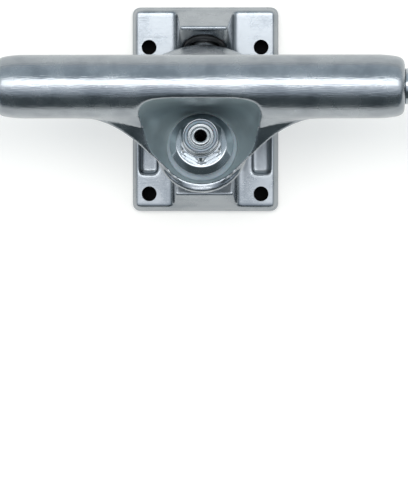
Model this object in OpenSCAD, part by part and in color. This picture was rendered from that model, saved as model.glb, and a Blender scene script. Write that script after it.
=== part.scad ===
// Skateboard truck with an eight inch axle: cast baseplate and hanger, kingpin, bushings and axle.
// Origin: middle of the four deck bolts, on the face that lies against the deck.
// +X runs along the axle, +Y towards the pivot cup, +Z from the deck towards the axle.

/* [Baseplate] */
// Distance between the deck bolts across the board
bolt_spacing_x = 41.275; // [38:0.005:44]
// Distance between the deck bolts along the board
bolt_spacing_y = 53.975; // [50:0.005:58]
// Diameter of the deck bolt holes
bolt_hole_d = 5.5; // [5:0.1:6]
// Plate material beyond the bolts at each side
margin_side = 6.36; // [5.5:0.01:9]
// Plate material beyond the bolts at the kingpin end
margin_kingpin_end = 6.5; // [5.5:0.1:9]
// Plate material beyond the bolts at the pivot end
margin_pivot_end = 14.9; // [13.5:0.1:18]
// Corner radius of the plate
plate_corner_r = 2.8; // [1.5:0.1:5]
// Height of the upright edge of the plate
edge_h = 3; // [2:0.1:4]
// Height of the pads that the bolt heads bear on
pad_h = 6.6; // [5.5:0.1:8]
// Step from the plate's outline in to the pads
pad_inset = 1.2; // [0.6:0.1:2]
// Depth of the lightening pockets beside the spine
pocket_depth = 1.8; // [1:0.1:3]

/* [Pivot tower] */
// Height of the pivot tower's top edge
tower_h = 22.4; // [20:0.1:26]
// Width of the pivot tower at its top edge
tower_top_w = 17.4; // [15:0.1:20]
// Width of the pivot tower above its foot
tower_foot_w = 20.6; // [18:0.1:24]
// Backward lean of the tower's front face, in degrees
tower_lean = 22.8; // [15:0.1:26]
// Slope of the tower's mouth, in degrees from upright
mouth_slope = 40; // [32:1:46]

/* [Kingpin] */
// Lean of the kingpin towards the pivot, in degrees
kingpin_lean = 16; // [14:0.5:20]
// Diameter of the kingpin
kingpin_d = 9.525; // [8:0.025:10]
// Diameter of the hole down the hollow kingpin
kingpin_hole_d = 4.2; // [0.5:0.1:5]
// Diameter of the kingpin's head
kingpin_head_d = 14.4; // [13:0.1:15]
// Height of the kingpin's head
kingpin_head_h = 4.5; // [4:0.1:5]
// Thickness of the boss between the head and the bushing seat
boss_grip = 4.5; // [4:0.1:6]

/* [Hanger] */
// Height of the axle's centre line above the deck face
axle_h = 55; // [50:0.5:60]
// Distance of the axle from the middle of the bolts, towards the pivot
axle_y = 11.5; // [9:0.1:14]
// Width of the hanger
hanger_w = 144; // [125:1:160]
// Diameter of the hanger's bar
bar_d = 22.5; // [20:0.1:25]
// Height of the hanger ring's middle above the deck face
ring_z = 31; // [29:0.1:33]
// Distance of the ring's middle behind the middle of the bolts
ring_back = 12; // [11:0.1:14]
// Thickness of the ring between its two bushing seats
ring_t = 9; // [7:0.1:11]
// Outer diameter of the ring's lip
lip_d = 33; // [30:0.1:35]
// Diameter of the recess that the upper bushing sits in
recess_d = 25.4; // [23:0.1:27]
// Depth of the recess
recess_depth = 4; // [2:0.1:5]
// Downward slope of the pivot axis, in degrees
pivot_drop = 25; // [23:0.5:27]
// Half width of the yoke where it has blended into the bar
yoke_half = 44; // [36:1:50]
// Spread of the yoke's bell-shaped sides
yoke_spread = 23; // [19:0.5:26]

/* [Pivot] */
// Distance from the ring's middle to the middle of the pivot ball
pivot_reach = 45.7; // [44:0.1:47]
// Diameter of the ball at the pivot's tip
ball_d = 10; // [9:0.1:11]
// Wall of the pivot cup
cup_wall = 1.8; // [1.2:0.1:2.2]
// Outer diameter of the pivot cup at its mouth
cup_mouth_d = 15.4; // [14:0.1:16]
// Room between the pivot and its cup
pivot_clearance = 0.3; // [0.2:0.05:0.5]

/* [Bushings] */
// Height of the lower bushing
lower_bushing_h = 12.8; // [11.5:0.1:14]
// Widest diameter of the lower bushing
lower_bushing_d = 19.8; // [18.5:0.1:21]
// Height of the upper bushing
upper_bushing_h = 8.4; // [7:0.1:10]
// Diameter of the upper bushing at its foot
upper_bushing_d = 19.6; // [17:0.1:21]
// Diameter of the lower washer
lower_washer_d = 19.8; // [18.5:0.1:22]
// Diameter of the cupped upper washer
upper_washer_d = 22.6; // [21:0.1:23.6]
// Diameter of the cupped washer's flat dish
washer_dish_d = 17.8; // [16:0.1:19]
// Drop of the cupped washer's rim below its seat
washer_cup = 1; // [0.6:0.1:1.4]
// Thickness of both bushing washers
washer_t = 1.5; // [1:0.1:2]

/* [Axle] */
// Overall length of the axle
axle_length = 209.5; // [190:0.5:230]
// Diameter of the wheel seats
axle_d = 7.94; // [7:0.01:8]
// Diameter of the knurled middle inside the hanger
axle_knurl_d = 8.4; // [8.1:0.05:9]
// Diameter of a speed washer
speed_washer_d = 12.7; // [11:0.1:14]
// Thickness of a speed washer
speed_washer_t = 1.2; // [0.8:0.1:1.6]

/* [Nuts] */
// Width across the flats of the kingpin nut
kingpin_nut_af = 14.29; // [13:0.01:15]
// Height of the kingpin nut
kingpin_nut_h = 8.5; // [7.5:0.1:10]
// Width across the flats of an axle nut
axle_nut_af = 12.7; // [12:0.1:13.5]
// Height of an axle nut
axle_nut_h = 8.7; // [7.5:0.1:10]
// Depth of the axle's thread
thread_depth = 0.54; // [0.4:0.01:0.9]
// Room between a thread's crest and what slides over it
thread_clearance = 0.06; // [0.03:0.01:0.1]

/* [Hidden] */
$fn = 96;
cut = 0.5;
running_fit = 0.05;

// Plate
plate_x = bolt_spacing_x / 2 + margin_side;
plate_back = bolt_spacing_y / 2 + margin_kingpin_end;
plate_front = bolt_spacing_y / 2 + margin_pivot_end;
bevel_top = pad_h - 1;
pocket_w = 6.5;
pocket_rim = 1.8;
pocket_corner_r = 1.5;
pocket_back = bolt_spacing_y / 2 - bolt_hole_d / 2 - 4.8;
pocket_front = 16;

// Kingpin stack, as heights along the kingpin from the middle of the ring
ring_r = lip_d / 2;
ring_low_r = ring_r - 3.6;
ring_foot_s = -ring_t / 2 - 0.3;
ring_seat_s = ring_t / 2 - 0.5;
lip_s = ring_seat_s + recess_depth;
seat_s = ring_foot_s - lower_bushing_h - washer_t;
head_s = seat_s - boss_grip;
upper_washer_s = ring_seat_s + upper_bushing_h;
kingpin_nut_s = upper_washer_s + washer_t;
kingpin_top_s = kingpin_nut_s + kingpin_nut_h + 0.3;
boss_r = lower_washer_d / 2 + 0.5;
ring_bore_r = kingpin_d / 2 + 1.9;

// Tower
tower_top_y = plate_front - (tower_h - edge_h) * tan(tower_lean) + 0.3;
tower_top_t = 0.8;
mouth_foot_w = 12.5;
mouth_facet_run = [3, 4];

// Pivot
ball_r = ball_d / 2;
cup_inner_r = ball_r + pivot_clearance;
cup_r = cup_inner_r + cup_wall;
cup_mouth_r = cup_mouth_d / 2;
cup_mouth_t = pivot_reach - 3.2;
neck_t = 18;
neck_r = 8.5;
neck_end_t = cup_mouth_t - 2.5;

// Bar
bar_r = bar_d / 2;
bar_end = hanger_w / 2;
end_taper = 10;
end_drop = 1.3;
end_round = 1.5;

// Axle
wheel_seat_start = bar_end + speed_washer_t;
axle_tip = axle_length / 2;
axle_nut_x = axle_tip - axle_nut_h;
outer_washer_x = axle_nut_x - speed_washer_t;
axle_thread_r = axle_d / 2 - thread_depth / 2;

// Frames of the two leaning axes
module at_kingpin(s = 0) {
    translate([0, -ring_back, ring_z]) rotate([-kingpin_lean, 0, 0]) translate([0, 0, s])
        children();
}
module at_pivot(t = 0) {
    translate([0, -ring_back, ring_z]) rotate([-90 - pivot_drop, 0, 0]) translate([0, 0, t])
        children();
}
module along_x(x = 0, side = 1) {
    translate([side * x, axle_y, axle_h]) rotate([0, side * 90, 0]) children();
}

// Side views are drawn as (y, z) outlines and extruded across the truck
module across(half_w) {
    rotate([90, 0, 90]) linear_extrude(2 * half_w, center = true) children();
}

// Point in the side view at radius q in front of the kingpin axis and height s along it
function kingpin_yz(q, s) = [-ring_back + q * cos(kingpin_lean) + s * sin(kingpin_lean),
                             ring_z - q * sin(kingpin_lean) + s * cos(kingpin_lean)];
function pivot_yz(q, t) = [-ring_back + t * cos(pivot_drop) + q * sin(pivot_drop),
                           ring_z - t * sin(pivot_drop) + q * cos(pivot_drop)];

// Corners given as [y, z, radius] become arcs
function unit(v) = v / norm(v);
function corner_arc(a, b, c, r, steps = 4) =
    let (p = [b[0], b[1]],
         u = unit([a[0], a[1]] - p),
         v = unit([c[0], c[1]] - p),
         half = acos(max(-1, min(1, u * v))) / 2,
         reach = r / tan(half),
         middle = p + unit(u + v) * r / sin(half),
         from = p + u * reach - middle,
         to = p + v * reach - middle,
         sweep = 180 - 2 * half,
         turn = sign(cross(from, to)))
    r <= 0 ? [p] : [for (i = [0:steps]) let (g = turn * sweep * i / steps)
        middle + [from[0] * cos(g) - from[1] * sin(g), from[0] * sin(g) + from[1] * cos(g)]];
function rounded(corners) = [for (i = [0:len(corners) - 1])
    each corner_arc(corners[(i + len(corners) - 1) % len(corners)], corners[i],
                    corners[(i + 1) % len(corners)], corners[i][2])];

module slab(inset, low, high, r) {
    for (x = [-1, 1], y = [-plate_back + inset, plate_front - inset])
        translate([x * (plate_x - inset - r), y - sign(y) * r, low]) cylinder(r = r, h = high - low);
}

module plate_blank() {
    hull() slab(0, 0, edge_h, plate_corner_r, $fn = 32);
    hull() {
        slab(0.3, edge_h - 0.1, edge_h, plate_corner_r, $fn = 32);
        slab(pad_inset, bevel_top, bevel_top + 0.1, plate_corner_r - 0.6, $fn = 32);
    }
}

// Foot fillets of a block that rises from the pads, as half of its front view
function flank(top_w, foot_w, top_h, fillet) = [
    [foot_w / 2 + fillet, 0],
    [foot_w / 2 + fillet, pad_h - 0.4],
    for (g = [0:15:75]) [foot_w / 2 + fillet * (1 - sin(g)), pad_h + fillet * (1 - cos(g))],
    [top_w / 2, top_h]];
module block_front(top_w, foot_w, top_h, fillet) {
    side = flank(top_w, foot_w, top_h, fillet);
    last = len(side) - 1;
    rotate([90, 0, 0]) linear_extrude(2 * plate_front + 2 * plate_back, center = true)
        polygon(concat(side, [for (i = [last:-1:0]) [-side[i][0], side[i][1]]]));
}

// Level slice of the space in front of the mouth: the mouth's edge, then a facet on each side
module mouth_slice(half_w, mouth_y, z) {
    facet = 4 * mouth_facet_run;
    far_y = plate_front + 20;
    translate([0, 0, z]) linear_extrude(0.1) polygon([
        [-half_w, mouth_y],
        [half_w, mouth_y],
        [half_w + facet[0], mouth_y + facet[1]],
        [half_w + facet[0], far_y],
        [-half_w - facet[0], far_y],
        [-half_w - facet[0], mouth_y + facet[1]]]);
}

module tower() {
    mouth_top_y = tower_top_y - tower_top_t;
    mouth_drop = tower_h - 1;
    mouth_low_y = mouth_top_y - mouth_drop * tan(mouth_slope);
    intersection() {
        across(plate_x) polygon([
            [plate_front - 0.4, 1],
            [plate_front - 0.4, edge_h],
            [tower_top_y, tower_h],
            [mouth_top_y - 2, tower_h],
            [mouth_low_y - 2, 1]]);
        block_front(tower_top_w, tower_foot_w, tower_h, 2);
        hull() {
            mouth_slice(tower_top_w / 2, mouth_top_y, tower_h);
            mouth_slice(mouth_foot_w / 2, mouth_low_y, 1);
        }
    }
}

module boss() {
    back_edge = kingpin_yz(-boss_r, seat_s);
    front_edge = kingpin_yz(boss_r, seat_s);
    intersection() {
        across(plate_x) polygon([
            [-plate_back + 0.4, 1],
            [-plate_back + 0.4, edge_h + 0.6],
            back_edge,
            front_edge,
            [front_edge[0] + 4, pad_h - 1.5],
            [front_edge[0] + 4, 1]]);
        block_front(2 * boss_r + 0.6, 2 * boss_r + 2, back_edge[1] + 1, 2.2);
    }
}

// Outline of the lightening pocket beside the spine
module pocket(side, low, h) {
    middle_x = plate_x - pad_inset - pocket_rim - pocket_w / 2;
    length = pocket_front + pocket_back;
    translate([side * middle_x, (pocket_front - pocket_back) / 2, low])
        linear_extrude(h) offset(pocket_corner_r)
            square([pocket_w, length] - 2 * [1, 1] * pocket_corner_r, center = true);
}

// Solid core under the pads
module plate_core() {
    inset = pad_inset + 0.4;
    translate([-plate_x + inset, -plate_back + inset, 1])
        cube([2 * (plate_x - inset), plate_front + plate_back - 2 * inset, pad_h - 1]);
}

module baseplate() color("silver") difference() {
    union() {
        difference() {
            union() {
                plate_blank();
                plate_core();
            }
            for (side = [-1, 1]) pocket(side, pad_h - pocket_depth, pocket_depth + cut);
        }
        tower();
        boss();
    }
    for (x = [-1, 1], y = [-1, 1])
        translate([x * bolt_spacing_x / 2, y * bolt_spacing_y / 2, -cut])
            cylinder(d = bolt_hole_d, h = pad_h + 2 * cut);
    at_kingpin(head_s - 30) cylinder(r = kingpin_head_d / 2 + 0.3, h = 30);
    at_kingpin(head_s - 1) cylinder(r = kingpin_d / 2 + running_fit, h = 30);
    at_pivot() rotate_extrude() pivot_bore();
}

// Room for the pivot cup, open towards the ring
module pivot_bore() {
    mouth_r = cup_mouth_r + running_fit;
    bore_r = cup_r + running_fit;
    polygon([[0, cup_mouth_t - 14],
             [mouth_r, cup_mouth_t - 14],
             [mouth_r, cup_mouth_t + 0.6],
             for (g = [0:10:90]) [bore_r * cos(g), pivot_reach + bore_r * sin(g)]]);
}

// Moulded cup that the pivot ball turns in
module pivot_cup() color("#202326") at_pivot() rotate_extrude() difference() {
    polygon([[0, cup_mouth_t],
             [cup_mouth_r - 0.6, cup_mouth_t],
             [cup_mouth_r, cup_mouth_t + 0.6],
             for (g = [0:10:90]) [cup_r * cos(g), pivot_reach + cup_r * sin(g)]]);
    polygon([[0, cup_mouth_t - cut],
             [cup_inner_r + 0.5, cup_mouth_t - cut],
             for (g = [0:10:90]) [cup_inner_r * cos(g), pivot_reach + cup_inner_r * sin(g)]]);
}

// Hollow bolt with its round head in the baseplate
module kingpin() color("#8f979c") at_kingpin() rotate_extrude() {
    hole_r = kingpin_hole_d / 2;
    head_r = kingpin_head_d / 2;
    polygon([[hole_r, head_s - kingpin_head_h],
             [head_r - 0.6, head_s - kingpin_head_h],
             [head_r, head_s - kingpin_head_h + 0.6],
             [head_r, head_s],
             [kingpin_d / 2, head_s],
             [kingpin_d / 2, kingpin_top_s - 1.2],
             [hole_r + 1, kingpin_top_s],
             [hole_r, kingpin_top_s - 0.6]]);
}

module lower_washer() color("#a9b0b5") at_kingpin(seat_s) difference() {
    cylinder(d = lower_washer_d, h = washer_t);
    translate([0, 0, -cut]) cylinder(r = kingpin_d / 2 + 0.25, h = washer_t + 2 * cut);
}

// Barrel of urethane, widest in the middle, with eased edges
function barrel(end_r, middle_r, h, low, steps = 8) = [for (i = [0:steps])
    let (u = i / steps) [middle_r - (middle_r - end_r) * pow(2 * u - 1, 2), low + h * u]];
module lower_bushing() color("#7f8a91") at_kingpin(seat_s + washer_t) rotate_extrude() {
    bore_r = kingpin_d / 2 + 0.3;
    ease = 0.8;
    polygon([[bore_r, 0],
             [lower_bushing_d / 2 - 0.8 - ease, 0],
             each barrel(lower_bushing_d / 2 - 0.8, lower_bushing_d / 2, lower_bushing_h - 2 * ease, ease),
             [lower_bushing_d / 2 - 0.8 - ease, lower_bushing_h],
             [bore_r, lower_bushing_h]]);
}

// Tapered bushing between the ring and the cupped washer
module upper_bushing() color("#7f8a91") at_kingpin(ring_seat_s) rotate_extrude() {
    bore_r = kingpin_d / 2 + 0.3;
    foot_r = upper_bushing_d / 2;
    polygon([[bore_r, 0],
             [foot_r - 0.6, 0],
             [foot_r, 0.6],
             [foot_r - 0.2, upper_bushing_h * 0.45],
             [washer_dish_d / 2 - 0.3, upper_bushing_h - 0.6],
             [washer_dish_d / 2 - 0.9, upper_bushing_h],
             [bore_r, upper_bushing_h]]);
}

// Washer with its rim turned down over the bushing
module upper_washer() color("#c9cfd3") at_kingpin(upper_washer_s) rotate_extrude() {
    rim_r = upper_washer_d / 2;
    dish_r = washer_dish_d / 2;
    polygon([[kingpin_d / 2 + 0.2, 0],
             [dish_r - 0.3, 0],
             [rim_r - 1.5, -washer_cup],
             [rim_r, -washer_cup],
             [rim_r, 0.4 - washer_cup],
             [dish_r, washer_t],
             [kingpin_d / 2 + 0.2, washer_t]]);
}

// Hexagon with chamfered corners below a round crown that holds the locking ring
module lock_nut(af, h, bore_r, crown_d, insert_r, insert_h) {
    corner_r = af / 2 / cos(30);
    hex_h = h * 0.68;
    lip = 0.5;
    difference() {
        union() {
            intersection() {
                cylinder(r = corner_r, h = hex_h, $fn = 6);
                rotate_extrude() polygon([[0, 0],
                                          [af / 2, 0],
                                          [corner_r + 0.1, 0.6],
                                          [corner_r + 0.1, hex_h - 0.9],
                                          [af / 2 - 0.3, hex_h],
                                          [0, hex_h]]);
            }
            rotate_extrude() polygon([[0, hex_h - 1],
                                      [crown_d / 2, hex_h - 1],
                                      [crown_d / 2, h - 0.8],
                                      [crown_d / 2 - 0.7, h],
                                      [0, h]]);
        }
        translate([0, 0, -cut]) cylinder(r = bore_r, h = h + 2 * cut);
        translate([0, 0, h - lip - insert_h]) cylinder(r = insert_r + running_fit, h = insert_h);
        translate([0, 0, h - lip - cut / 2]) cylinder(r = bore_r + 0.5, h = lip + cut);
    }
}
module lock_ring(h, bore_r, insert_r, insert_h) difference() {
    translate([0, 0, h - 0.5 - insert_h]) cylinder(r = insert_r, h = insert_h);
    cylinder(r = bore_r, h = h);
}

module kingpin_nut() color("#b9c1c6") at_kingpin(kingpin_nut_s) rotate(30)
    lock_nut(kingpin_nut_af, kingpin_nut_h, kingpin_d / 2 + thread_clearance, kingpin_nut_af - 1.2,
             kingpin_d / 2 + 1, 1.8);
module kingpin_nut_insert() color("#d8dcdc") at_kingpin(kingpin_nut_s)
    lock_ring(kingpin_nut_h, kingpin_d / 2 + thread_clearance, kingpin_d / 2 + 1, 1.8);

// How far the yoke still stands out of the bar at x, from 1 in the middle to 0
function bell(x) = exp(-pow(x / yoke_spread, 2));
function yoke_fade(x) = abs(x) >= yoke_half ? 0 : (bell(x) - bell(yoke_half)) / (1 - bell(yoke_half));

// Radius of the bar at x: straight, then tapered and rounded at its ends
function bar_r_at(x) =
    let (into = abs(x) - (bar_end - end_taper),
         corner = abs(x) - (bar_end - end_round))
    bar_r - (into > 0 ? end_drop * pow(into / end_taper, 2) : 0)
          - (corner > 0 ? end_round - sqrt(pow(end_round, 2) - pow(corner, 2)) : 0);

// Side view of the yoke in the middle, as (y, z) corners with their radii
function corner(v, r) = [v[0], v[1], r];
bar_back = [axle_y - bar_r + 0.35, axle_h - 1.5];
bar_front = [axle_y + 8, axle_h - 8];
lip_back = kingpin_yz(1 - ring_r, lip_s - 0.6);
foot_back = kingpin_yz(1 - ring_low_r, ring_foot_s + 1);
foot_front = kingpin_yz(ring_low_r + 2, ring_foot_s + 0.5);
belly = [14, 22.3];
chin = [24.3, 20.8];
nose = [27.6, 24.2];
yoke_corners = [
    corner([axle_y, axle_h], 0),
    corner(bar_back, 0),
    corner(lip_back, 1.5),
    corner(foot_back, 2),
    corner(foot_front, 3),
    corner(belly, 4),
    corner(chin, 2.5),
    corner(nose, 1.5),
    corner(bar_front, 0)];
yoke_outline = rounded(yoke_corners);

// Distance from the axle to the outline at angle g in the side view
function ray(g, a, b) =
    let (d = [cos(g), sin(g)],
         p = a - [axle_y, axle_h],
         e = b - a,
         den = cross(d, e))
    abs(den) < 0.000001 ? 0 :
    let (t = cross(p, e) / den, u = cross(p, d) / den) (t > 0 && u >= 0 && u <= 1) ? t : 0;
function yoke_reach(g) = max([for (i = [0:len(yoke_outline) - 1])
    ray(g, yoke_outline[i], yoke_outline[(i + 1) % len(yoke_outline)])]);

yoke_angles = [for (g = [-46:10:124]) g, for (g = [129:4.5:309]) g];
yoke_excess = [for (g = yoke_angles) max(0, yoke_reach(g) - bar_r)];
half_stations = [for (x = [0:2.5:yoke_half]) x,
                 for (i = [0:3]) yoke_half + 0.5 + (bar_end - end_taper - yoke_half - 0.5) * i / 3,
                 for (i = [1:3]) bar_end - end_taper + (end_taper - end_round) * i / 3,
                 for (g = [45, 88]) bar_end - end_round + end_round * sin(g)];
stations = concat([for (i = [len(half_stations) - 1:-1:1]) -half_stations[i]], half_stations);

// Bar and yoke as one skin over their sections along the axle
module bar_and_yoke() {
    n = len(yoke_angles);
    m = len(stations);
    points = [for (x = stations) let (fade = yoke_fade(x), r = bar_r_at(x))
        for (j = [0:n - 1]) let (g = yoke_angles[j], reach = r + yoke_excess[j] * fade)
            [x, axle_y + reach * cos(g), axle_h + reach * sin(g)]];
    sides = [for (i = [0:m - 2], j = [0:n - 1]) let (a = i * n + j, b = i * n + (j + 1) % n)
        each [[a, b + n, b], [a, a + n, b + n]]];
    left_end = [for (j = [0:n - 1]) j];
    right_end = [for (j = [n - 1:-1:0]) (m - 1) * n + j];
    polyhedron(points, concat(sides, [left_end, right_end]));
}

// Bowl round the kingpin nut: a circle at the ring that opens into a rounded triangle
bowl_top_s = 46;
bowl_step = 0.5;
bowl_side_growth = 8.2;
bowl_side_rate = 3.4;
bowl_front_shrink = 4.2;
bowl_full_s = 39;
bowl_squareness = 1.6;
module bowl() {
    levels = 11;
    n = 48;
    low_s = lip_s - 0.2;
    points = [for (i = [0:levels])
        let (s = low_s + (bowl_top_s - low_s) * pow(i / levels, 2.2),
             t = min(1.2, max(0, (s - lip_s) / (bowl_full_s - lip_s))),
             foot = recess_d / 2 + (i == 0 ? -bowl_step : bowl_step),
             side = foot + bowl_side_growth * (1 - exp(-bowl_side_rate * t)),
             front = foot - bowl_front_shrink * t,
             square_up = 2 / (2 + bowl_squareness * min(1, t)))
        for (j = [0:n - 1]) let (g = 360 * j / n, c = cos(g), v = sin(g), p = v > 0 ? square_up : 1)
            [side * sign(c) * pow(abs(c), p),
             (v > 0 ? front : side) * sign(v) * pow(abs(v), p),
             s]];
    sides = [for (i = [0:levels - 1], j = [0:n - 1]) let (a = i * n + j, b = i * n + (j + 1) % n)
        each [[a, a + n, b + n], [a, b + n, b]]];
    bottom = [for (j = [0:n - 1]) j];
    top = [for (j = [n - 1:-1:0]) levels * n + j];
    polyhedron(points, concat(sides, [bottom, top]));
}

module hanger() color("silver") difference() {
    union() {
        bar_and_yoke();
        at_kingpin() rotate_extrude() polygon([[0, ring_foot_s],
                                               [ring_low_r - 1, ring_foot_s],
                                               [ring_low_r, ring_foot_s + 1],
                                               [ring_r, lip_s - 1.5],
                                               [ring_r, lip_s - 0.5],
                                               [ring_r - 0.5, lip_s + 0.1],
                                               [0, lip_s + 0.1]]);
        at_pivot() rotate_extrude() polygon([[0, neck_t],
                                             [neck_r, neck_t],
                                             [ball_r + 0.7, neck_end_t - 4],
                                             [ball_r, neck_end_t],
                                             for (g = [0:10:80])
                                                 [ball_r * cos(g), pivot_reach + ball_r * sin(g)],
                                             [0, pivot_reach + ball_r * sin(80)]]);
    }
    at_kingpin() bowl();
    at_kingpin(ring_seat_s) cylinder(d = recess_d, h = recess_depth + 1);
    at_kingpin(ring_foot_s - 1) cylinder(r = ring_bore_r, h = ring_t + 3);
    at_kingpin(ring_foot_s - 12) cylinder(r = ring_low_r + 0.6, h = 12);
    along_x(-bar_end - 1) cylinder(r = axle_knurl_d / 2 + running_fit / 2, h = hanger_w + 2);
}

// Steel axle: knurled middle, then at each end a relief groove, a wheel seat and a thread,
// which is drawn at its mean diameter
module axle() color("#a7adb1") along_x() rotate_extrude() {
    seat_r = axle_d / 2;
    half = [[axle_knurl_d / 2, bar_end - 2],
            [axle_thread_r, bar_end - 1.5],
            [axle_thread_r, wheel_seat_start],
            [seat_r, wheel_seat_start],
            [seat_r, outer_washer_x],
            [axle_thread_r, outer_washer_x],
            [axle_thread_r, axle_tip - 0.9],
            [axle_thread_r - 0.9, axle_tip]];
    last = len(half) - 1;
    polygon([[0, axle_tip],
             [0, -axle_tip],
             for (i = [last:-1:0]) [half[i][0], -half[i][1]],
             each half]);
}

module speed_washer(x, side) color("#b4babe") along_x(x, side) difference() {
    cylinder(d = speed_washer_d, h = speed_washer_t);
    translate([0, 0, -cut]) cylinder(r = axle_d / 2 + 0.15, h = speed_washer_t + 2 * cut);
}
module axle_nut(side) color("#b9c1c6") along_x(axle_nut_x, side)
    lock_nut(axle_nut_af, axle_nut_h, axle_thread_r + thread_clearance, axle_nut_af - 1.1,
             axle_thread_r + 0.9, 1.8);
module axle_nut_insert(side) color("#d8dcdc") along_x(axle_nut_x, side)
    lock_ring(axle_nut_h, axle_thread_r + thread_clearance, axle_thread_r + 0.9, 1.8);

module left_inner_speed_washer() speed_washer(bar_end, -1);
module left_outer_speed_washer() speed_washer(outer_washer_x, -1);
module left_axle_nut() axle_nut(-1);
module left_axle_nut_insert() axle_nut_insert(-1);
module right_inner_speed_washer() speed_washer(bar_end, 1);
module right_outer_speed_washer() speed_washer(outer_washer_x, 1);
module right_axle_nut() axle_nut(1);
module right_axle_nut_insert() axle_nut_insert(1);

baseplate();
pivot_cup();
kingpin();
lower_washer();
lower_bushing();
hanger();
axle();
upper_bushing();
upper_washer();
kingpin_nut();
kingpin_nut_insert();
left_inner_speed_washer();
left_outer_speed_washer();
left_axle_nut();
left_axle_nut_insert();
right_inner_speed_washer();
right_outer_speed_washer();
right_axle_nut();
right_axle_nut_insert();
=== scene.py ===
"""A polished skateboard truck, dressed for its photograph: castings, turned steel and urethane.

Lengths are in millimetres and become metres when a mesh is made. The origin is the middle of the deck
bolts on the deck face, +X runs along the axle, +Y towards the pivot and +Z towards the axle."""

import math

import bpy
import numpy as np
import openvdb
from mathutils import Matrix, Vector


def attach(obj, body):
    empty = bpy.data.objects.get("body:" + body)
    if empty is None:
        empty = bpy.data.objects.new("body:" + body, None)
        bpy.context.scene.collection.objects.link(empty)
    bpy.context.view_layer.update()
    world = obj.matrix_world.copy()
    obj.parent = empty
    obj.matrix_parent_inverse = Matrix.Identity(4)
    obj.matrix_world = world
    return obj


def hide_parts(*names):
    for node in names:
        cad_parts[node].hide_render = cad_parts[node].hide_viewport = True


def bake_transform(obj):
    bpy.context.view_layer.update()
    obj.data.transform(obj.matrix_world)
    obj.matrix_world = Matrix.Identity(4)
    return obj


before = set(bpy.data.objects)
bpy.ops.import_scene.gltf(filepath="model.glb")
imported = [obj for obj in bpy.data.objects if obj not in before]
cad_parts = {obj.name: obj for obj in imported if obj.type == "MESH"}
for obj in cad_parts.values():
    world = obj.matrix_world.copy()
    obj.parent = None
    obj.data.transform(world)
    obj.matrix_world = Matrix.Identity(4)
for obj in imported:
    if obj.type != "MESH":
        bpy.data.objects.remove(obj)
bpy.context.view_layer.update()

MM = 0.001

# Driving sizes, as in the part's source
BOLT_X = 41.275 / 2
BOLT_Y = 53.975 / 2
BOLT_HOLE_R = 2.75
PAD_H = 6.6
BOSS_GRIP = 4.5
AXLE_Y = 11.5
AXLE_Z = 55.0
RING_Y = -12.0
RING_Z = 31.0
KINGPIN_LEAN = 16.0
HANGER_HALF = 72.0
BAR_R = 11.25
END_TAPER = 10.0
END_DROP = 1.3
YOKE_HALF = 44.0
YOKE_SPREAD = 23.0
PIVOT_DROP = 25.0
PIVOT_REACH = 45.7
BALL_R = 5.0
LOWER_BUSHING_H = 12.8
UPPER_BUSHING_H = 8.4
WASHER_T = 1.5
HEAD_R = 7.2
HEAD_H = 4.5
NUT_ACROSS = 14.29
NUT_H = 8.5
AXLE_NUT_ACROSS = 12.7
AXLE_NUT_H = 8.7
SPEED_WASHER_R = 6.35
SPEED_WASHER_T = 1.2

# Heights along the kingpin, from the middle of the ring
RING_FOOT = -4.8
RING_SEAT = 4.0
LIP = 8.0
BOWL_TOP = 39.0
BASE_SEAT = RING_FOOT - LOWER_BUSHING_H - WASHER_T
WASHER_FOOT = RING_SEAT + UPPER_BUSHING_H
NUT_FOOT = WASHER_FOOT + WASHER_T
KINGPIN_TOP = NUT_FOOT + NUT_H + 0.3

# Radii about the kingpin
KINGPIN_R = 4.76
WASHER_BORE_R = 4.96
BUSHING_BORE_R = 5.06
RING_BORE_R = 6.66
RECESS_R = 12.7
RING_FOOT_R = 12.9
LIP_R = 16.5
NUT_BORE_R = KINGPIN_R + 0.07
NUT_CROWN_R = 6.55

# The axle, with places along it from its middle
AXLE_R = 3.97
AXLE_BORE_R = 4.225
THREAD_PITCH = 25.4 / 24
THREAD_START = 86.0
AXLE_TIP = 104.75
AXLE_NUT_FOOT = AXLE_TIP - AXLE_NUT_H
AXLE_NUT_BORE_R = AXLE_R + 0.03
AXLE_NUT_CROWN_R = 5.8
OUTER_WASHER_FOOT = AXLE_NUT_FOOT - SPEED_WASHER_T

RING_MIDDLE = Matrix.Translation((0, RING_Y, RING_Z))
KINGPIN_FRAME = RING_MIDDLE @ Matrix.Rotation(math.radians(-KINGPIN_LEAN), 4, "X")
PIVOT_FRAME = RING_MIDDLE @ Matrix.Rotation(math.radians(-90 - PIVOT_DROP), 4, "X")


def axle_frame(side):
    """Frame with its z axis outwards along the axle, on the left (-1) or the right (1)."""
    return Matrix.Translation((0, AXLE_Y, AXLE_Z)) @ Matrix.Rotation(math.radians(side * 90), 4, "Y")


def point_on(frame_matrix, along):
    """Point on a frame's z axis, in metres."""
    return tuple(frame_matrix @ Vector((0, 0, along)) * MM)


# Meshes

def mesh_object(name, points, faces):
    """A smooth shaded mesh from points in millimetres."""
    mesh = bpy.data.meshes.new(name)
    mesh.from_pydata((np.asarray(points, float) * MM).tolist(), [], [tuple(map(int, f)) for f in faces])
    mesh.validate()
    mesh.shade_smooth()
    piece = bpy.data.objects.new(name, mesh)
    bpy.context.scene.collection.objects.link(piece)
    return piece


def placed(points, frame_matrix):
    """Points of a local frame, moved into the truck's frame."""
    turn = np.array(frame_matrix.to_3x3())
    return np.asarray(points, float) @ turn.T + np.array(frame_matrix.translation)


def circle(segments):
    """Angles of even steps round a full turn."""
    return np.arange(segments) * 2 * math.pi / segments


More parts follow.
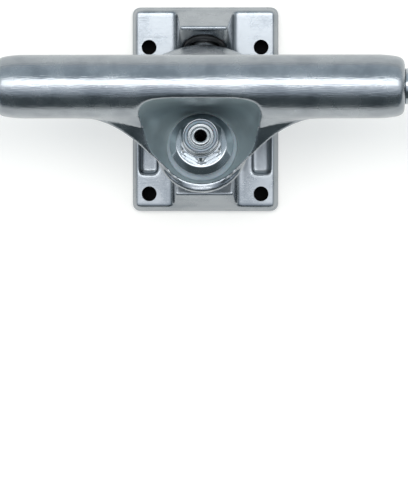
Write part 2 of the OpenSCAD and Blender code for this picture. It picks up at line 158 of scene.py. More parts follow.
def grid_faces(rows, columns, wrap_rows=False):
    """Quads of a grid whose columns wrap round."""
    faces = []
    for i in range(rows if wrap_rows else rows - 1):
        for j in range(columns):
            after = (j + 1) % columns
            here, below = i * columns, (i + 1) % rows * columns
            faces.append((here + j, here + after, below + after, below + j))
    return faces


def capped_faces(rows, columns):
    """Quads of a tube, closed with a cap at each end."""
    first = tuple(reversed(range(columns)))
    last = tuple(range((rows - 1) * columns, rows * columns))
    return grid_faces(rows, columns) + [first, last]


def lathe(name, profile, frame_matrix, segments=160):
    """Closed solid turned from a closed (radius, height) profile, drawn anticlockwise and off the axis."""
    points = [(r * math.cos(a), r * math.sin(a), h) for r, h in profile for a in circle(segments)]
    faces = grid_faces(len(profile), segments, wrap_rows=True)
    return mesh_object(name, placed(points, frame_matrix), faces)


def eased(corners, radius, steps=4):
    """A closed 2D outline with every corner rounded to the radius, or to its own third value."""
    outline = []
    count = len(corners)
    for i, corner in enumerate(corners):
        here = np.array(corner[:2], float)
        before = np.array(corners[i - 1][:2], float) - here
        after = np.array(corners[(i + 1) % count][:2], float) - here
        r = corner[2] if len(corner) > 2 else radius
        u = before / np.linalg.norm(before)
        v = after / np.linalg.norm(after)
        half = math.acos(max(-1.0, min(1.0, float(u @ v)))) / 2
        almost_straight = half > 1.55
        if r <= 0 or almost_straight:
            outline.append(tuple(here))
            continue
        reach = min(r / math.tan(half), 0.45 * np.linalg.norm(before), 0.45 * np.linalg.norm(after))
        r = reach * math.tan(half)
        middle = here + (u + v) / np.linalg.norm(u + v) * r / math.sin(half)
        start = here + u * reach - middle
        end = here + v * reach - middle
        turn = math.atan2(start[0] * end[1] - start[1] * end[0], float(start @ end))
        for k in range(steps + 1):
            g = turn * k / steps
            outline.append((middle[0] + start[0] * math.cos(g) - start[1] * math.sin(g),
                            middle[1] + start[0] * math.sin(g) + start[1] * math.cos(g)))
    return outline


def sharp_where_steep(piece, degrees):
    """Keeps machined edges crisp and the rest smooth."""
    mesh = piece.data
    mesh.shade_smooth()
    mesh.set_sharp_from_angle(angle=math.radians(degrees))


def cut_with(piece, *cutters):
    """Machined cuts: exact differences, applied, whose cutters are deleted."""
    for cutter in cutters:
        step = piece.modifiers.new("cut", "BOOLEAN")
        step.operation = "DIFFERENCE"
        step.solver = "EXACT"
        step.object = cutter
    depsgraph = bpy.context.evaluated_depsgraph_get()
    mesh = bpy.data.meshes.new_from_object(piece.evaluated_get(depsgraph))
    piece.modifiers.clear()
    piece.data = mesh
    mesh.name = piece.name
    for cutter in cutters:
        bpy.data.objects.remove(cutter)
    sharp_where_steep(piece, 35)


def cylinder_cutter(frame_matrix, radius, low, high, segments=160):
    """A capped cylinder to cut with."""
    points = [(radius * math.cos(a), radius * math.sin(a), h) for h in (low, high) for a in circle(segments)]
    return mesh_object("cutter", placed(points, frame_matrix), capped_faces(2, segments))


# Castings, as distance fields on a fine grid that are then meshed

def outline_distance(outline, u, v):
    """Distance from points to a closed outline, negative inside."""
    nearest = np.full(u.shape, 1e9, np.float32)
    inside = np.zeros(u.shape, bool)
    for (u0, v0), (u1, v1) in zip(outline, outline[1:] + outline[:1]):
        du, dv = u1 - u0, v1 - v0
        share = np.clip(((u - u0) * du + (v - v0) * dv) / (du * du + dv * dv), 0, 1)
        nearest = np.minimum(nearest, (u - u0 - share * du) ** 2 + (v - v0 - share * dv) ** 2)
        if dv:
            inside ^= ((v >= v0) != (v >= v1)) & (u < u0 + (v - v0) * du / dv)
    return np.where(inside, -1, 1) * np.sqrt(nearest)


def joined(a, b, fillet):
    """Union with a cast fillet where the two meet."""
    near = np.maximum(fillet - np.abs(a - b), 0) / fillet
    return np.minimum(a, b) - near * near * fillet / 4


def hollowed(a, b, round_edge):
    """a without b, with the edge between them rounded."""
    return -joined(-a, b, round_edge)


def as_distance(field, pitch):
    """Scales a field so that it changes by one for each millimetre."""
    slopes = np.gradient(field, pitch)
    least_slope = 0.2
    return field / np.maximum(np.sqrt(sum(s * s for s in slopes)), least_slope)


def softened(field, reach):
    """Rounds every edge of a field a little, as casting and polishing do. The reach is in grid steps."""
    steps = np.arange(-int(3 * reach), int(3 * reach) + 1)
    weights = np.exp(-0.5 * (steps / reach) ** 2)
    weights /= weights.sum()
    for axis in range(3):
        total = np.zeros_like(field)
        for step, weight in zip(steps, weights):
            total += weight * np.roll(field, step, axis)
        field = total
    return field


def meshed(name, field, low, pitch):
    """The field's zero surface as an even quad mesh, relaxed until reflections run smoothly over it."""
    band = 3.0
    grid = openvdb.FloatGrid(background=band)
    grid.copyFromArray(np.ascontiguousarray(np.clip(field, -band, band), np.float32))
    points, _, quads = grid.convertToPolygons(isovalue=0, adaptivity=0)
    piece = mesh_object(name, points * pitch + np.array(low), quads[:, ::-1])
    step = piece.modifiers.new("relax", "SMOOTH")
    step.factor = 0.5
    step.iterations = 4
    return piece


def grid_over(low, high, pitch):
    """Coordinates of a grid over a box, as three open arrays."""
    axes = [np.arange(a, b, pitch, dtype=np.float32) for a, b in zip(low, high)]
    return np.meshgrid(*axes, indexing="ij", sparse=True)


# Hanger casting

def leaned(y, z, degrees):
    """The truck's y and z as coordinates about the middle of the ring that lean back by some degrees."""
    lean = math.radians(degrees)
    from_ring_y, from_ring_z = y - RING_Y, z - RING_Z
    return (from_ring_y * math.cos(lean) - from_ring_z * math.sin(lean),
            from_ring_y * math.sin(lean) + from_ring_z * math.cos(lean))


def kingpin_yz(across, along):
    """A point of the kingpin's own frame in the truck's y and z."""
    lean = math.radians(KINGPIN_LEAN)
    return (RING_Y + across * math.cos(lean) + along * math.sin(lean),
            RING_Z - across * math.sin(lean) + along * math.cos(lean))


# The yoke in side view, at its middle: (y, z, radius) of its corners, from the axle down the back and round
SIDE_VIEW = [
    (AXLE_Y, AXLE_Z, 0),
    (AXLE_Y - BAR_R + 0.35, AXLE_Z - 1.5, 0),
    (*kingpin_yz(1 - LIP_R, LIP - 0.6), 1.5),
    (*kingpin_yz(1 - RING_FOOT_R, RING_FOOT + 1), 2),
    (*kingpin_yz(RING_FOOT_R + 2, RING_FOOT + 0.5), 3),
    (14, 22.3, 4),
    (24.3, 20.8, 2.5),
    (27.6, 24.2, 1.5),
    (AXLE_Y + 8, AXLE_Z - 8, 0),
]


def yoke_reach(angles):
    """Distance from the axle to the side view's outline, at each angle."""
    outline = np.array(eased(SIDE_VIEW, 0, 8)) - (AXLE_Y, AXLE_Z)
    reach = np.zeros(len(angles))
    for a, b in zip(outline, np.roll(outline, -1, 0)):
        edge = b - a
        for i, angle in enumerate(angles):
            ray = np.array((math.cos(angle), math.sin(angle)))
            cross = ray[0] * edge[1] - ray[1] * edge[0]
            if abs(cross) < 1e-9:
                continue
            far = (a[0] * edge[1] - a[1] * edge[0]) / cross
            share = (a[0] * ray[1] - a[1] * ray[0]) / cross
            if far > 0 and -1e-9 <= share <= 1 + 1e-9:
                reach[i] = max(reach[i], far)
    return reach


def spread_out(values, step, sigma):
    """Values round a full turn, blurred by a gaussian of the given degrees."""
    reach = int(3 * sigma / step)
    weights = np.exp(-0.5 * (np.arange(-reach, reach + 1) * step / sigma) ** 2)
    return np.convolve(np.pad(values, reach, mode="wrap"), weights / weights.sum(), "valid")[:len(values)]


def yoke_excess(angles):
    """How far the yoke stands out of the bar at each angle: a wide fillet behind, small ones ahead."""
    excess = np.maximum(yoke_reach(angles) - BAR_R, 0)
    step = math.degrees(angles[1] - angles[0])
    behind = np.clip((-np.cos(angles) - 0.3) / 0.5, 0, 1)
    small_degrees, wide_degrees = 4, 15
    small = spread_out(excess, step, small_degrees)
    wide = spread_out(excess, step, wide_degrees)
    eased_out = small + (wide - small) * behind
    crisp = np.clip(excess / (4 + 5 * behind), 0, 1)
    return eased_out + (excess - eased_out) * crisp * crisp * (3 - 2 * crisp)


def bar_and_yoke(x, y, z, pitch):
    """The round bar, which swells into the yoke at its middle and tapers a little at its ends."""
    out, up = y - AXLE_Y, z - AXLE_Z
    angles = np.linspace(-math.pi, math.pi, 1441)
    excess = np.interp(np.arctan2(up, out), angles, yoke_excess(angles))
    bell = np.exp(-(x / YOKE_SPREAD) ** 2)
    bell_end = math.exp(-(YOKE_HALF / YOKE_SPREAD) ** 2)
    fade = np.maximum(bell - bell_end, 0) / (1 - bell_end)
    taper = END_DROP * (np.maximum(np.abs(x) - (HANGER_HALF - END_TAPER), 0) / END_TAPER) ** 2
    body = as_distance(np.hypot(out, up) - (BAR_R - taper + excess * fade), pitch)
    washer_gap, end_round = 0.1, 2.5
    past_end = HANGER_HALF - washer_gap - np.abs(x) + 0 * body
    return hollowed(body, past_end, end_round)


def bushing_ring(x, across, along):
    """The ring that the bushings clamp, round the kingpin, up to the lip inside the bowl."""
    lip_top = LIP + 0.1
    profile = [
        (0, RING_FOOT), (RING_FOOT_R - 1, RING_FOOT), (RING_FOOT_R, RING_FOOT + 1), (LIP_R, LIP - 1.5),
        (LIP_R, LIP - 0.5), (LIP_R - 0.5, lip_top), (0, lip_top),
    ]
    return outline_distance(profile, np.hypot(x, across), along + 0 * x)


def pivot_neck(x, out, off):
    """The pivot: a neck with a rounded root, which narrows to the ball that sits in the cup."""
    root = [(12, 0), (12.8, 3.6), (15.4, 6.8), (19, 8.2)]
    narrow = [(PIVOT_REACH - 9.7, 5.7), (PIVOT_REACH - 5.7, BALL_R)]
    ball = [(PIVOT_REACH + BALL_R * math.sin(g), BALL_R * math.cos(g)) for g in np.linspace(0, 1.5, 7)]
    tip = (PIVOT_REACH + BALL_R, 0)
    return outline_distance([*root, *narrow, *ball, tip], out + 0 * x, np.hypot(x, off))


def bowl_ratio(x, across, along):
    """How far out a point of the kingpin's frame lies in the bowl: 0 at the kingpin, 1 on the bowl's wall.

    The bowl is round at its foot. Higher up it widens, but its wall on the bar's side draws in and grows
    squarer."""
    side_growth, side_rate, front_draw, squareness = 9.2, 3.4, 4.2, 2.6
    rise = np.clip((along - LIP) / (BOWL_TOP - LIP), 0, 1.2)
    foot = RECESS_R + np.clip((along - LIP) * 2.5, -0.5, 0.5)
    side = foot + side_growth * (1 - np.exp(-side_rate * rise))
    front = foot - front_draw * rise
    power = 2 + squareness * np.minimum(rise, 1)
    ahead = (np.abs(x / side) ** power + np.abs(across / front) ** power) ** (1 / power)
    return np.where(across + 0 * x > 0, ahead, np.hypot(x, across) / side)


def hanger_field(low, high, pitch):
    """Bar, yoke, ring and pivot as one casting, with the bowl for the upper bushing."""
    x, y, z = grid_over(low, high, pitch)
    across, along = leaned(y, z, KINGPIN_LEAN)
    ring_fillet, neck_fillet, rim_round, polish_steps = 0.8, 3.5, 0.4, 0.5
    body = bar_and_yoke(x, y, z, pitch)
    body = joined(body, bushing_ring(x, across, along), ring_fillet)
    body = joined(body, pivot_neck(x, *leaned(y, z, PIVOT_DROP)), neck_fillet)
    bowl = as_distance(bowl_ratio(x, across, along) - 1, pitch)
    bowl = np.maximum(bowl, LIP - 0.2 - along)
    return softened(hollowed(body, bowl, rim_round), polish_steps)


def make_hanger():
    """The hanger casting, with its machined seats and bores."""
    pitch = 0.5
    low, high = (-76, -33, 4), (76, 38, 69)
    piece = meshed("hanger_casting", hanger_field(low, high, pitch), low, pitch)
    recess = cylinder_cutter(KINGPIN_FRAME, RECESS_R, RING_SEAT, LIP + 1)
    kingpin_bore = cylinder_cutter(KINGPIN_FRAME, RING_BORE_R, RING_FOOT - 3.2, RING_SEAT + 2, 96)
    foot_face = cylinder_cutter(KINGPIN_FRAME, RING_FOOT_R + 0.6, RING_FOOT - 12, RING_FOOT + 0.05)
    axle_bore = cylinder_cutter(axle_frame(1), AXLE_BORE_R, -HANGER_HALF - 8, HANGER_HALF + 8, 96)
    cut_with(piece, recess, kingpin_bore, foot_face, axle_bore)
    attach(piece, "hanger")
    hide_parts("hanger")
    return piece


# Baseplate casting

def solid_field(solid, low, high, pitch):
    """Distance field of a closed CAD solid."""
    points = (np.array([v.co for v in solid.data.vertices]) / MM - low) / pitch
    solid.data.calc_loop_triangles()
    triangles = np.array([t.vertices for t in solid.data.loop_triangles])
    shape = [len(np.arange(a, b, pitch)) for a, b in zip(low, high)]
    grid = openvdb.FloatGrid.createLevelSetFromPolygons(points, triangles=triangles, halfWidth=6.0)
    field = np.empty(shape, np.float32)
    grid.copyToArray(field)
    return field * pitch


def make_baseplate():
    """The baseplate casting: its holes are plugged, every cast edge is eased and the holes are drilled."""
    pitch = 0.4
    easing_steps = 1.1
    low, high = (-29, -36, -2), (29, 44, 25)
    bolts = [(side_x, side_y) for side_x in (-BOLT_X, BOLT_X) for side_y in (-BOLT_Y, BOLT_Y)]
    field = solid_field(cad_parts["baseplate"], low, high, pitch)
    x, y, z = grid_over(low, high, pitch)
    for bolt_x, bolt_y in bolts:
        plug = np.hypot(x - bolt_x, y - bolt_y) - BOLT_HOLE_R - 1
        field = np.minimum(field, np.maximum(np.maximum(plug, z - PAD_H), -z))
    piece = meshed("baseplate_casting", softened(field, easing_steps), low, pitch)
    drills = [
        cylinder_cutter(Matrix.Translation((bolt_x, bolt_y, 0)), BOLT_HOLE_R, -1, PAD_H + 1, 64)
        for bolt_x, bolt_y in bolts
    ]
    cut_with(piece, *drills)
    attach(piece, "base")
    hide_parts("baseplate")
    return piece


# Turned, pressed and moulded pieces

def turned(name, corners, frame_matrix, body, node, ease=0.25, segments=160):
    """A turned piece from its (radius, height) corners, each edge broken a little."""
    piece = lathe(name, eased(corners, ease, 4), frame_matrix, segments)
    sharp_where_steep(piece, 40)
    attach(piece, body)
    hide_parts(node)
    return piece


def make_kingpin():
    """Hollow kingpin: a round head under the baseplate, and a tip with a raised rim inside a shoulder."""
    hole, rim, rim_foot = 2.1, 3.3, 3.5
    foot = BASE_SEAT - BOSS_GRIP - HEAD_H
    seat = foot + HEAD_H
    shoulder = KINGPIN_TOP - 0.8
    corners = [
        (hole, foot), (HEAD_R - 0.6, foot), (HEAD_R, foot + 0.8), (HEAD_R, seat - 0.2), (HEAD_R - 0.3, seat),
        (KINGPIN_R, seat), (KINGPIN_R, shoulder - 0.2), (KINGPIN_R - 0.16, shoulder),
        (rim_foot, shoulder - 0.15), (rim, KINGPIN_TOP), (hole + 0.25, KINGPIN_TOP),
        (hole, KINGPIN_TOP - 0.4),
    ]
    return turned("kingpin_pin", corners, KINGPIN_FRAME, "base", "kingpin", 0.2)


def make_pivot_cup():
    """Moulded cup that holds the pivot's ball."""
    inner_r, outer_r, mouth_r = 5.3, 7.1, 7.7
    mouth = PIVOT_REACH - 3.2
    almost_round = np.linspace(0, 1.45, 12)
    corners = [(inner_r + 0.5, mouth, 0.4), (mouth_r - 0.5, mouth, 0.4), (mouth_r, mouth + 0.6, 0.3)]
    for radius, angles in ((outer_r, almost_round), (inner_r, almost_round[::-1])):
        corners += [(radius * math.cos(g), PIVOT_REACH + radius * math.sin(g), 0) for g in angles]
    return turned("pivot_cup_moulding", corners, PIVOT_FRAME, "base", "pivot_cup")


def soft_ring(name, corners, node, low, high):
    """A urethane ring between the baseplate and the hanger."""
    piece = lathe(name, eased(corners, 0.3, 5), KINGPIN_FRAME)
    sharp_where_steep(piece, 50)
    divide = piece.modifiers.new("layers", "SUBSURF")
    divide.subdivision_type = "SIMPLE"
    divide.levels = divide.render_levels = 1
    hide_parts(node)
    # The lower bushing meets the hanger at its top, the upper one at its foot
    ends = [point_on(KINGPIN_FRAME, low), point_on(KINGPIN_FRAME, high)]
    if node == "upper_bushing":
        ends.reverse()
    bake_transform(piece)
    return piece


def make_lower_bushing():
    """Barrel bushing between the lower washer and the ring, bulging a little under load."""
    low = BASE_SEAT + WASHER_T
    high = low + LOWER_BUSHING_H
    end_r, side_r, bulge, end_h, steps = 8.7, 9.1, 0.8, 0.9, 12
    side_h = LOWER_BUSHING_H - 2 * end_h
    sides = [
        (side_r + bulge * math.sin(math.pi * k / steps), low + end_h + side_h * k / steps, 0)
        for k in range(steps + 1)
    ]
    foot = [(BUSHING_BORE_R, low, 0.3), (end_r, low, 0.7)]
    top = [(end_r, high, 0.7), (BUSHING_BORE_R, high, 0.3)]
    return soft_ring("lower_bushing_urethane", foot + sides + top, "lower_bushing", low, high)


def make_upper_bushing():
    """Bushing under the cupped washer, squeezed until its foot fills the ring's recess."""
    low = RING_SEAT
    high = low + UPPER_BUSHING_H
    foot_r, shoulder_r, neck_r, top_r = 12.6, 10.6, 8.9, 8.2
    corners = [
        (BUSHING_BORE_R, low, 0.3), (foot_r, low, 0.4), (foot_r, low + 4.6, 0.9), (shoulder_r, low + 6.2, 1),
        (neck_r, low + 7, 0.6), (top_r, high, 0.6), (BUSHING_BORE_R, high, 0.3),
    ]
    return soft_ring("upper_bushing_urethane", corners, "upper_bushing", low, high)


def make_lower_washer():
    """Flat washer under the lower bushing."""
    radius, foot, top = 9.9, BASE_SEAT, BASE_SEAT + WASHER_T
    corners = [(WASHER_BORE_R, foot), (radius, foot), (radius, top), (WASHER_BORE_R, top)]
    return turned("lower_washer_disc", corners, KINGPIN_FRAME, "base", "lower_washer",
                  0.4)


def make_upper_washer():
    """Cupped washer: pressed steel, its rim rolled down over the bushing."""
    foot, top, rim_r = WASHER_FOOT, WASHER_FOOT + WASHER_T, 11.4
    corners = [
        (WASHER_BORE_R, foot, 0.2), (8.6, foot, 1.2), (9.8, foot - 1, 0.3), (rim_r, foot - 1, 0.3),
        (rim_r, foot - 0.6, 0.3), (9.1, top, 0.8), (WASHER_BORE_R, top, 0.3),
    ]
    return turned("cupped_washer", corners, KINGPIN_FRAME, "upper_washer", "upper_washer",
                  0.3)


def make_speed_washer(name, side, foot):
    """Thin washer between the bearing and what holds it."""
    bore, top = AXLE_R + 0.15, foot + SPEED_WASHER_T
    corners = [(bore, foot), (SPEED_WASHER_R, foot), (SPEED_WASHER_R, top), (bore, top)]
    return turned(name + "_washer_disc", corners, axle_frame(side), name + "_washer",
                  name + "_speed_washer", 0.3, 96)


def hex_radius(angle, flat):
    """Distance from a hexagon's middle to its side at an angle."""
    into = angle % (math.pi / 3) - math.pi / 6
    return flat / math.cos(into)


def make_lock_nut(name, frame_matrix, foot, across, tall, bore, crown, body, node):
    """Nylon insert lock nut: chamfered hexagon below a round crown whose lip is rolled over the ring."""
    flat, corner = across / 2, across / math.sqrt(3)
    hexagon = tall * 0.66
    pocket = bore + 0.9
    hexagon_levels = [
        (bore + 0.4, 0), (flat - 0.5, 0), (flat - 0.15, 0.05), (flat + 0.25, 0.22), (corner - 0.12, 0.75),
        (corner - 0.12, hexagon - 1.15), (flat + 0.3, hexagon - 0.35), (flat - 0.1, hexagon - 0.12),
    ]
    crown_levels = eased([
        (crown + 0.35, hexagon, 0.1), (crown, hexagon + 0.35, 0.4), (crown, tall - 0.6, 0),
        (crown - 0.35, tall, 0.4), (bore + 1.1, tall - 0.12, 0.3), (pocket, tall - 0.4, 0.1),
        (pocket, tall - 2.4, 0.1), (bore, tall - 2.5, 0.05), (bore, 0.4, 0.05),
    ], 0.2, 5)
    levels = hexagon_levels + crown_levels
    segments = 144
    points = []
    for radius, height in levels:
        for angle in circle(segments):
            r = min(radius, hex_radius(angle, flat))
            points.append((r * math.cos(angle), r * math.sin(angle), foot + height))
    faces = grid_faces(len(levels), segments, wrap_rows=True)
    piece = mesh_object(name, placed(points, frame_matrix), faces)
    sharp_where_steep(piece, 28)
    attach(piece, body)
    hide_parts(node)
    return piece


def make_insert(name, frame_matrix, foot, tall, bore, body, node):
    """Nylon ring in the crown of a lock nut, its bore swelled by the thread."""
    low, high, outer = foot + tall - 2.3, foot + tall - 0.3, bore + 0.85
    corners = [(bore, low), (outer, low), (outer, high), (bore + 0.3, high + 0.05), (bore, high - 0.2)]
    return turned(name, corners, frame_matrix, body, node, 0.15, 96)


def thread_radius(x, angle, side):
    """Radius of the axle's rolled thread, which fades out at both its ends."""
    turns = (x - THREAD_START) / THREAD_PITCH
    phase = (turns - side * angle / (2 * math.pi)) % 1
    groove = min(1.0, max(0.0, abs(phase - 0.5) * 2.6 - 0.15))
    grown = min(1.0, turns, (AXLE_TIP - 0.4 - x) / 0.5)
    groove_depth = 0.6
    return AXLE_R - 0.02 - groove_depth * groove * max(grown, 0)


def make_axle():
    """Steel axle: ground wheel seats, relief grooves and rolled threads on its tips."""
    threaded = AXLE_TIP - 0.9 - THREAD_START
    rows_a_turn = 14
    steps = int(threaded / THREAD_PITCH * rows_a_turn)
    rows = [(4.2, 70.2), (3.72, 70.7), (3.7, 73.0), (AXLE_R, 73.25), (AXLE_R, THREAD_START)]
    rows += [(None, THREAD_START + threaded * k / steps) for k in range(1, steps + 1)]
    rows += [(3.2, AXLE_TIP - 0.25), (2.9, AXLE_TIP), (0.4, AXLE_TIP)]
    segments = 96
    points = []
    for side in (-1, 1):
        for radius, x in rows[::side]:
            for angle in circle(segments):
                r = thread_radius(x, angle, side) if radius is None else radius
                points.append((side * x, AXLE_Y + r * math.cos(angle), AXLE_Z + r * math.sin(angle)))
    piece = mesh_object("axle_rod", points, capped_faces(2 * len(rows), segments))
    sharp_where_steep(piece, 50)
    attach(piece, "hanger")
    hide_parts("axle")
    return piece


# Materials

# Height of the grain and the hairlines in every bump
RELIEF = 0.1 * MM


def colour(hex_value):
    """Linear colour of an sRGB hex value."""
    channels = [int(hex_value[i:i + 2], 16) / 255 for i in (1, 3, 5)]
    linear = [c / 12.92 if c <= 0.04045 else ((c + 0.055) / 1.055) ** 2.4 for c in channels]
    return (*linear, 1)


def add(tree, kind, inputs=(), **settings):
    """A shader node with its settings, and its inputs as values or as sockets to link."""
    made = tree.nodes.new("ShaderNode" + kind)
    for key, value in settings.items():
        setattr(made, key, value)
    for key, value in dict(inputs).items():
        if isinstance(value, bpy.types.NodeSocket):
            tree.links.new(value, made.inputs[key])
        else:
            made.inputs[key].default_value = value
    return made


def maths(tree, operation, *values):
    """The result of one calculation with numbers or sockets."""
    return add(tree, "Math", enumerate(values), operation=operation).outputs["Value"]


def ramp(tree, factor, stops):
    """Smooth colour ramp from (position, hex colour) stops."""
    made = add(tree, "ValToRGB", {"Fac": factor})
    made.color_ramp.interpolation = "EASE"
    elements = made.color_ramp.elements
    while len(elements) < len(stops):
        elements.new(0.5)
    for element, (position, hex_value) in zip(elements, stops):
        element.position = position
        element.color = colour(hex_value)
    return made.outputs["Color"]


def new_material(name):
    """An empty node material: (material, its tree, its output)."""
    material = bpy.data.materials.new(name)
    material.use_nodes = True
    tree = material.node_tree
    tree.nodes.clear()
    return material, tree, add(tree, "OutputMaterial")


def surface(tree, output, **inputs):
    """The Principled shader, linked to the output."""
    named = {key.replace("_", " "): value for key, value in inputs.items()}
    shader = add(tree, "BsdfPrincipled", named)
    tree.links.new(shader.outputs["BSDF"], output.inputs["Surface"])


def object_space(tree, unit_mm):
    """Object coordinates scaled so that one unit is the given number of millimetres."""
    where = add(tree, "TexCoord").outputs["Object"]
    return add(tree, "Mapping", {"Vector": where, "Scale": (1000 / unit_mm,) * 3}).outputs["Vector"]


def noise(tree, where, detail):
    """Noise whose grains are about one unit wide."""
    return add(tree, "TexNoise", {"Vector": where, "Scale": 1.0, "Detail": detail}).outputs["Fac"]


def metal(name, tint, dark, rough, rough_spread, grain_mm, grain, scratch_mm, scratch, bare=1.0):
    """Bare metal: gloss made a little uneven by handling, a fine grain, and hairlines along the axle."""
    handling_mm = 9
    material, tree, output = new_material(name)
    patches = noise(tree, object_space(tree, handling_mm), 4.0)
    gloss = add(tree, "MapRange", {"Value": patches, "From Min": 0.3, "From Max": 0.7,
                                   "To Min": rough - rough_spread, "To Max": rough + rough_spread})
    tone = ramp(tree, patches, [(0.3, dark), (0.62, tint)])
    fine = noise(tree, object_space(tree, grain_mm), 2.0)
    stretched = add(tree, "Mapping", {"Vector": object_space(tree, scratch_mm), "Scale": (1, 9, 9)})
    hairs = noise(tree, stretched.outputs["Vector"], 3.0)
    first = add(tree, "Bump", {"Strength": grain, "Distance": RELIEF, "Height": fine})
    second = add(tree, "Bump", {"Strength": scratch, "Distance": RELIEF, "Height": hairs,
                                "Normal": first.outputs["Normal"]})
    surface(tree, output, Base_Color=tone, Metallic=bare, Roughness=gloss.outputs["Result"],
            Normal=second.outputs["Normal"])
    return material


def moulded(name, tint, dark, rough, grain_mm, grain, subsurface=0.0):
    """A moulded plastic or rubber with a faint skin texture."""
    patch_mm = 5
    material, tree, output = new_material(name)
    tone = ramp(tree, noise(tree, object_space(tree, patch_mm), 3.0), [(0.35, dark), (0.65, tint)])
    fine = noise(tree, object_space(tree, grain_mm), 3.0)
    bump = add(tree, "Bump", {"Strength": grain, "Distance": RELIEF, "Height": fine})
    surface(tree, output, Base_Color=tone, Roughness=rough, Normal=bump.outputs["Normal"],
            Subsurface_Weight=subsurface, Subsurface_Scale=2 * MM)
    return material


# Polished cast aluminium: tumbled and buffed, so it mirrors softly, with faint hairlines along the bar
polished_aluminium = metal("polished_cast_aluminium", "#a1a6aa", "#8f9499", rough=0.25, rough_spread=0.06,
                           grain_mm=1.2, grain=0.12, scratch_mm=4, scratch=0.5)
# Cast aluminium inside the bowl, where no polishing wheel reaches: the same alloy, dull and even. Its tint
# is lighter than the bar's, which is painted light that lifts the bowl's shade
bowl_aluminium_painted_light = metal("as_cast_aluminium_painted_light", "#a9b7b9", "#9ba8ab", rough=0.4, rough_spread=0.06,
                       grain_mm=0.8, grain=0.1, scratch_mm=4, scratch=0.04, bare=0.6)
# Tumbled cast aluminium: the same alloy left with a slightly broader sheen
tumbled_aluminium = metal("tumbled_cast_aluminium", "#9ca1a5", "#888e93", rough=0.28, rough_spread=0.07,
                          grain_mm=0.9, grain=0.16, scratch_mm=5, scratch=0.14)
# Bright zinc on steel: a cool, slightly milky mirror
zinc_plate = metal("bright_zinc_plated_steel", "#b2b7bb", "#a3aaaf", rough=0.17, rough_spread=0.04,
                   grain_mm=0.7, grain=0.05, scratch_mm=3, scratch=0.03)
# Ground steel: darker than the zinc, and its sheen is a little broader
ground_steel = metal("ground_steel", "#a4a8aa", "#93979a", rough=0.24, rough_spread=0.05,
                     grain_mm=0.5, grain=0.05, scratch_mm=2, scratch=0.08)
# Cast urethane: cool grey, satin, and a little light goes into it. Its grey is lighter than the urethane's
# own, which is painted light that lifts the shade in the ring's recess
bushing_urethane = moulded("cast_urethane_painted_light", "#a9b4ba", "#9ca8ae", rough=0.38, grain_mm=0.6, grain=0.12,
                           subsurface=0.15)
# Black moulded urethane: dull black, so that the cup shows as a dark edge round the pivot
cup_urethane = moulded("black_moulded_urethane", "#1b1d1f", "#141617", rough=0.45, grain_mm=0.5, grain=0.15)
# Nylon: cool pale grey and smooth, and more light goes into it than into the urethane
natural_nylon = moulded("natural_nylon", "#9aa6af", "#8c98a1", rough=0.35, grain_mm=0.4, grain=0.08,
                        subsurface=0.3)


def dress(pieces, material):
    """Gives pieces one material."""
    for piece in pieces:
        piece.data.materials.clear()
        piece.data.materials.append(material)


def face_bowl(piece, material):
    """Gives the bowl's walls the second material, whose lighter tint is painted light in the bowl's shade.
    """
    middles = np.empty(3 * len(piece.data.polygons))
    piece.data.polygons.foreach_get("center", middles)
    local = placed(middles.reshape(-1, 3) / MM, KINGPIN_FRAME.inverted())
    at_wall, above_seat = 1.005, RING_SEAT + 0.1
    in_bowl = (bowl_ratio(*local.T) < at_wall) & (local[:, 2] > above_seat)
    piece.data.materials.append(material)
    piece.data.polygons.foreach_set("material_index", in_bowl.astype(np.int32))


# The truck

hanger = make_hanger()
baseplate = make_baseplate()
kingpin = make_kingpin()
pivot_cup = make_pivot_cup()
bushings = [make_lower_bushing(), make_upper_bushing()]
washers = [make_lower_washer(), make_upper_washer()]
axle = make_axle()
nuts = [make_lock_nut(
    "kingpin_lock_nut", KINGPIN_FRAME @ Matrix.Rotation(math.pi / 6, 4, "Z"), NUT_FOOT, NUT_ACROSS, NUT_H,
    NUT_BORE_R, NUT_CROWN_R, "kingpin_nut", "kingpin_nut",
)]
inserts = [make_insert(
    "kingpin_nut_ring", KINGPIN_FRAME, NUT_FOOT, NUT_H, NUT_BORE_R, "kingpin_nut", "kingpin_nut_insert",
)]
for side, name in ((-1, "left"), (1, "right")):
    washers.append(make_speed_washer(name + "_inner", side, HANGER_HALF))
    washers.append(make_speed_washer(name + "_outer", side, OUTER_WASHER_FOOT))
    nuts.append(make_lock_nut(
        name + "_axle_lock_nut", axle_frame(side), AXLE_NUT_FOOT, AXLE_NUT_ACROSS, AXLE_NUT_H,
        AXLE_NUT_BORE_R, AXLE_NUT_CROWN_R, name + "_nut", name + "_axle_nut",
    ))
    inserts.append(make_insert(
        name + "_axle_nut_ring", axle_frame(side), AXLE_NUT_FOOT, AXLE_NUT_H, AXLE_NUT_BORE_R,
        name + "_nut", name + "_axle_nut_insert",
    ))

dress([hanger], polished_aluminium)
face_bowl(hanger, bowl_aluminium_painted_light)
dress([baseplate], tumbled_aluminium)
dress(washers + nuts, zinc_plate)
dress([kingpin, axle], ground_steel)
dress(bushings, bushing_urethane)
dress([pivot_cup], cup_urethane)
dress(inserts, natural_nylon)


# Studio

def level_corners(half_x, half_y, height):
    """Corners of a level rectangle about the origin, in metres."""
    return [(-half_x, -half_y, height), (half_x, -half_y, height), (half_x, half_y, height),
            (-half_x, half_y, height)]


def studio_piece(name, points, faces, material):
    """A piece of the studio, which is no part of the truck."""
    mesh = bpy.data.meshes.new(name)
    mesh.from_pydata(points, [], faces)
    mesh.materials.append(material)
    piece = bpy.data.objects.new(name, mesh)
    bpy.context.scene.collection.objects.link(piece)


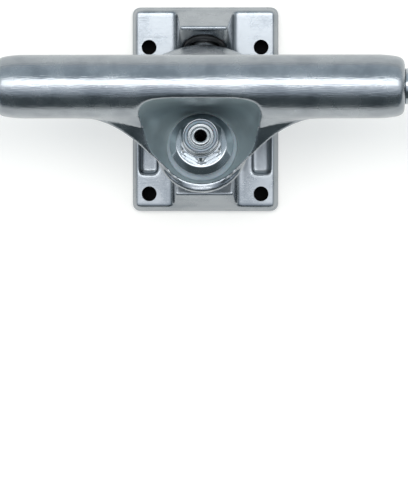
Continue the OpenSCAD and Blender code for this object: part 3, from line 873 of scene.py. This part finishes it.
def make_floor():
    """White paper floor with a low wall all round. It glows a little where camera or metal sees it."""
    half, low, wall_top, own_glow = 3.0, -0.0003, 0.2997, 0.47
    paper, tree, output = new_material("white_paper")
    rays = add(tree, "LightPath").outputs
    seen = maths(tree, "MAXIMUM", rays["Is Camera Ray"], rays["Is Glossy Ray"])
    seen = maths(tree, "MAXIMUM", seen, rays["Is Transmission Ray"])
    glow = maths(tree, "MULTIPLY", seen, own_glow)
    surface(tree, output, Base_Color=colour("#d2d0ca"), Roughness=0.9, Specular_IOR_Level=0.0,
            Emission_Color=colour("#ffffff"), Emission_Strength=glow)
    walls = [(i, i + 4, (i + 1) % 4 + 4, (i + 1) % 4) for i in range(4)]
    points = level_corners(half, half, low) + level_corners(half, half, wall_top)
    studio_piece("floor", points, [(0, 1, 2, 3)] + walls, paper)


def make_painted_shade_card():
    """Black card under the baseplate: painted shade that shows through its bolt holes."""
    card, tree, output = new_material("painted_shade_card")
    surface(tree, output, Base_Color=colour("#0c0c0d"), Roughness=0.8, Specular_IOR_Level=0.1)
    studio_piece("card", level_corners(0.024, 0.031, -0.0001), [(0, 1, 2, 3)], card)


def make_world():
    """Grey studio walls: brightest just past overhead, darkest on the kingpin's side, grey past the ends."""
    brightness = 1.64
    world = bpy.data.worlds.new("studio")
    world.use_nodes = True
    bpy.context.scene.world = world
    tree = world.node_tree
    tree.nodes.clear()
    direction = add(tree, "SeparateXYZ", {"Vector": add(tree, "TexCoord").outputs["Generated"]}).outputs
    forward = maths(tree, "ARCTAN2", direction["Y"], direction["Z"])
    turn = add(tree, "MapRange", {"Value": forward, "From Min": -math.pi, "From Max": math.pi})

    def walls(*stops):
        """Greys by the degrees from overhead towards the pivot's side."""
        shares = [((degrees + 180) / 360, grey) for degrees, grey in stops]
        return ramp(tree, turn.outputs["Result"], shares)

    bands = walls(
        (-92, "#8f979d"), (-84, "#424a4d"), (-36, "#424a4d"), (-28, "#929aa3"), (-19, "#adb5be"),
        (-6, "#d3d8e0"), (4, "#f4f6fa"), (23, "#f4f6fa"), (31, "#99a6ae"), (76, "#a9b3bb"),
        (100, "#cfd0d9"),
    )
    far = walls((-20, "#5f6a70"), (50, "#b4bcc2"))
    lean = maths(tree, "ARCTAN2", maths(tree, "ABSOLUTE", direction["X"]), direction["Z"])
    ends = add(tree, "MapRange", {"Value": lean, "From Min": math.radians(48), "From Max": math.radians(66)},
               interpolation_type="SMOOTHSTEP")
    mixed = add(tree, "MixRGB", {"Fac": ends.outputs["Result"], "Color1": bands, "Color2": far})
    background = add(tree, "Background", {"Color": mixed.outputs["Color"], "Strength": brightness})
    add(tree, "OutputWorld", {"Surface": background.outputs["Background"]})


def make_softbox():
    """Wide softbox above the truck, a little to the pivot's side."""
    place, target = Vector((0, 0.33, 1.3)), Vector((0, 0, 0.03))
    light = bpy.data.lights.new("overhead_softbox", "AREA")
    light.energy = 6.3
    light.shape = "RECTANGLE"
    light.size = 1.5
    light.size_y = 0.44
    lamp = bpy.data.objects.new("overhead_softbox", light)
    lamp.location = place
    lamp.rotation_euler = (target - place).to_track_quat("-Z", "Y").to_euler()
    bpy.context.scene.collection.objects.link(lamp)


def make_camera():
    """Camera above the truck, as the upper view of the photograph has it."""
    place, target = Vector((0.038, -0.011, 1.100)), Vector((-0.0004, -0.0485, 0.006))
    data = bpy.data.cameras.new("camera")
    data.sensor_width = 36
    data.lens = 211.8
    data.clip_start = 0.01
    away = (place - target).normalized()
    across = Vector((0, 1, 0)).cross(away).normalized()
    upward = away.cross(across)
    camera = bpy.data.objects.new("camera", data)
    camera.matrix_world = Matrix.Translation(place) @ Matrix((across, upward, away)).transposed().to_4x4()
    bpy.context.scene.collection.objects.link(camera)
    bpy.context.scene.camera = camera


make_floor()
make_painted_shade_card()
make_world()
make_softbox()
make_camera()
bpy.context.scene.view_settings.view_transform = "Standard"
